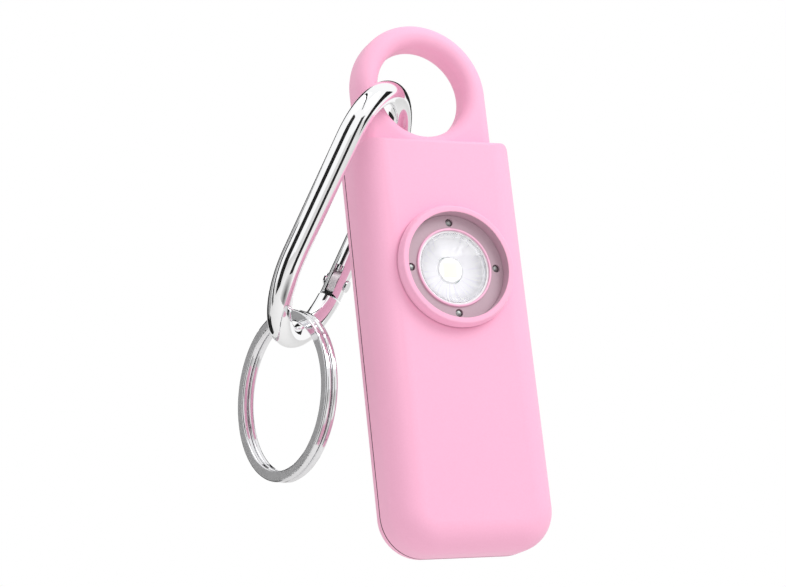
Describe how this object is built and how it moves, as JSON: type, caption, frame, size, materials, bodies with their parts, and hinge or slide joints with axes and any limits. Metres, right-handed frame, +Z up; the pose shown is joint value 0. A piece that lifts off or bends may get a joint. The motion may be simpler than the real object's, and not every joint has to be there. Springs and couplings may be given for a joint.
{
  "type": "personal safety alarm",
  "caption": "Flat rounded keyring siren with a round torch and sound grille on its face, a chunky pull-pin ring on top, and an oval snap hook with a split ring.",
  "frame": {"origin": "centre of the round hole in the pull pin's ring, by which the alarm hangs", "axes": "+X to the right seen from the front, +Y towards the back, +Z up along the case"},
  "size_m": [0.0456, 0.041, 0.0949],
  "materials": {
    "case_plastic": "soft-touch matt moulding",
    "pin_plastic": "soft-touch matt moulding",
    "grille_plastic": "smooth moulding",
    "reflector_chrome": "vacuum plated",
    "lens_clear": "clear moulded lens",
    "led_white": "white ceramic package",
    "led_phosphor": "phosphor under clear gel",
    "hook_chrome": "bright plated",
    "ring_steel": "nickel plated spring steel",
    "screw_steel": "zinc plated",
    "piezo_brass": "rolled sheet",
    "piezo_white": "fired and silvered ceramic",
    "board_green": "solder resist over glass fibre",
    "part_black": "moulded package",
    "part_white": "moulded",
    "leaf_bronze": "sprung strip",
    "cell_steel": "nickel plated can",
    "ferrite": "sintered core"
  },
  "bodies": {
    "pull_pin": {"pull_pin": "pin_plastic"},
    "alarm_case": {"front_shell": "case_plastic", "rear_shell": "case_plastic", "case_screws": "screw_steel", "grille_plate": "grille_plastic", "reflector_cup": "reflector_chrome", "front_lens": "lens_clear", "led_board": "board_green", "led_base": "led_white", "led_emitter": "led_phosphor", "sounder_ring": "part_black", "piezo_disc": "piezo_brass", "piezo_ceramic": "piezo_white", "main_board": "board_green", "boost_inductor": "ferrite", "capacitor": "part_black", "siren_chip": "part_black", "switch_base": "part_black", "switch_leaf_front": "leaf_bronze", "switch_leaf_rear": "leaf_bronze", "battery_holder": "part_black", "battery_cell_front": "cell_steel", "battery_cell_rear": "cell_steel", "battery_contact_front": "cell_steel", "battery_contact_rear": "cell_steel"},
    "carabiner": {"carabiner_frame": "hook_chrome"},
    "gate": {"carabiner_gate": "hook_chrome", "gate_rivet": "hook_chrome", "gate_plunger": "hook_chrome", "gate_spring": "screw_steel"},
    "split_ring": {"split_ring": "ring_steel"}
  },
  "joints": [
    {"name": "pin_pull", "type": "slide", "parent": "pull_pin", "child": "alarm_case", "axis": [0, 0, -1], "range_m": [0, 0.012]},
    {"name": "carabiner_swing", "type": "hinge", "parent": "pull_pin", "child": "carabiner", "pos_m": [0, 0, 0], "axis": [0, 1, 0], "range_deg": [0, 150]},
    {"name": "gate_hinge", "type": "hinge", "parent": "carabiner", "child": "gate", "pos_m": [-0.01158, 0.01716, -0.02985], "axis": [0.6656, -0.5401, -0.5151], "range_deg": [0, 12], "stiffness_Nm_per_rad": 0.02, "springref_deg": -17.19},
    {"name": "split_ring_swing", "type": "hinge", "parent": "carabiner", "child": "split_ring", "pos_m": [-0.02166, 0.01481, -0.04042], "axis": [0.7249, 0.6319, 0.2742], "range_deg": [-25, 90]}
  ]
}
